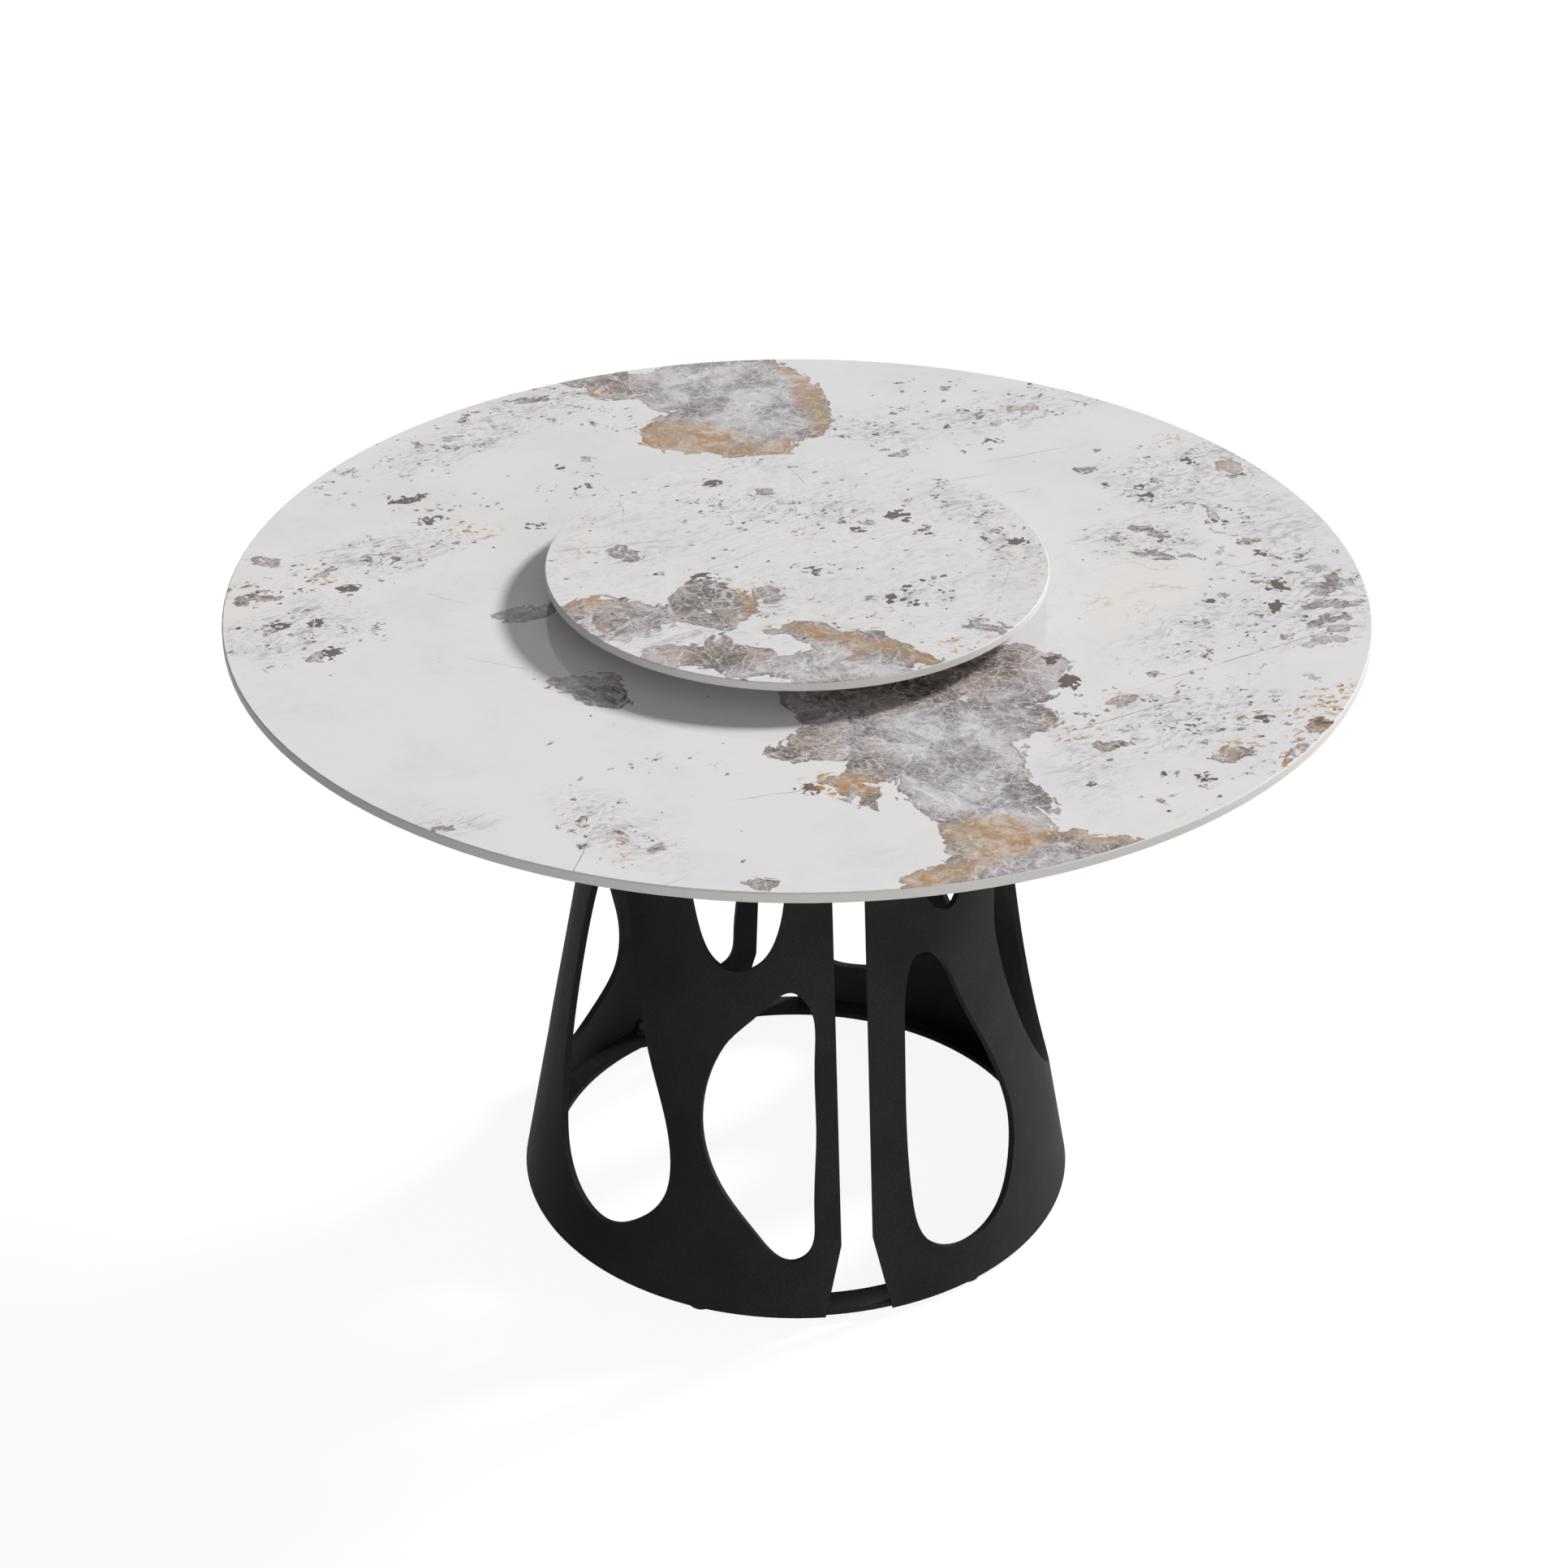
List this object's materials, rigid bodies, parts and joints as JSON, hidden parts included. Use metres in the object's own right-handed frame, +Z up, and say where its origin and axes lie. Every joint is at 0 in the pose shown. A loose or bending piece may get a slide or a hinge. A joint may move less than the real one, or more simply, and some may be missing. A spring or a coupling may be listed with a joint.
{
  "type": "round dining table",
  "caption": "Round dining table with a veined stone top, a turntable of the same stone on a ball bearing and a conical black steel base with cut-out windows.",
  "frame": {"origin": "on the floor, on the table's axis", "axes": "+Z up along the table's axis; the base's slits face -Y and +Y; the left panel is on the -X side"},
  "size_m": [1.2498, 1.25, 0.794],
  "materials": {
    "stone": "polished white sintered stone with grey and rust veins",
    "plywood": "birch plywood, sealed",
    "black_steel": "matte black powder coat",
    "zinc_steel": "bright zinc plate",
    "black_oxide_steel": "black oxide, oiled",
    "brass": "plain brass",
    "aluminium": "turned, natural",
    "ball_steel": "polished bearing steel",
    "nylon": "natural nylon",
    "clear_silicone": "milky silicone",
    "black_rubber": "matte black rubber",
    "black_plastic": "moulded black plastic"
  },
  "bodies": {
    "base": {"stone_top": "stone", "backing_board": "plywood", "threaded_inserts": "brass", "top_plate": "black_steel", "top_bolts": "zinc_steel", "top_washers": "zinc_steel", "left_panel": "black_steel", "right_panel": "black_steel", "bottom_ring": "black_steel", "foot_nuts": "black_steel", "bearing_lower_ring": "aluminium", "base_pads": "black_rubber"},
    "turntable": {"turntable_disc": "stone", "disc_pads": "clear_silicone", "bearing_upper_ring": "aluminium"},
    "ball_set": {"ball_cage": "nylon", "bearing_balls": "ball_steel"},
    "foot_1": {"foot_pad_1": "black_plastic", "foot_stud_1": "black_oxide_steel"},
    "foot_2": {"foot_pad_2": "black_plastic", "foot_stud_2": "black_oxide_steel"},
    "foot_3": {"foot_pad_3": "black_plastic", "foot_stud_3": "black_oxide_steel"},
    "foot_4": {"foot_pad_4": "black_plastic", "foot_stud_4": "black_oxide_steel"},
    "foot_5": {"foot_pad_5": "black_plastic", "foot_stud_5": "black_oxide_steel"},
    "foot_6": {"foot_pad_6": "black_plastic", "foot_stud_6": "black_oxide_steel"}
  },
  "joints": [
    {"name": "turntable_spin", "type": "hinge", "parent": "base", "child": "turntable", "pos_m": [0, 0, 0.768], "axis": [0, 0, 1], "continuous": true},
    {"name": "cage_spin", "type": "hinge", "parent": "base", "child": "ball_set", "pos_m": [0, 0, 0.768], "axis": [0, 0, 1], "continuous": true},
    {"name": "foot_1_screw", "type": "hinge", "parent": "base", "child": "foot_1", "pos_m": [0.305, 0, 0], "axis": [0, 0, -1], "range_deg": [0, 2304]},
    {"name": "foot_2_screw", "type": "hinge", "parent": "base", "child": "foot_2", "pos_m": [0.1525, 0.26414, 0], "axis": [0, 0, -1], "range_deg": [0, 2304]},
    {"name": "foot_3_screw", "type": "hinge", "parent": "base", "child": "foot_3", "pos_m": [-0.1525, 0.26414, 0], "axis": [0, 0, -1], "range_deg": [0, 2304]},
    {"name": "foot_4_screw", "type": "hinge", "parent": "base", "child": "foot_4", "pos_m": [-0.305, 0, 0], "axis": [0, 0, -1], "range_deg": [0, 2304]},
    {"name": "foot_5_screw", "type": "hinge", "parent": "base", "child": "foot_5", "pos_m": [-0.1525, -0.26414, 0], "axis": [0, 0, -1], "range_deg": [0, 2304]},
    {"name": "foot_6_screw", "type": "hinge", "parent": "base", "child": "foot_6", "pos_m": [0.1525, -0.26414, 0], "axis": [0, 0, -1], "range_deg": [0, 2304]}
  ],
  "couplings": [
    {"joint": "cage_spin", "follows": "turntable_spin", "ratio": 0.5}
  ]
}
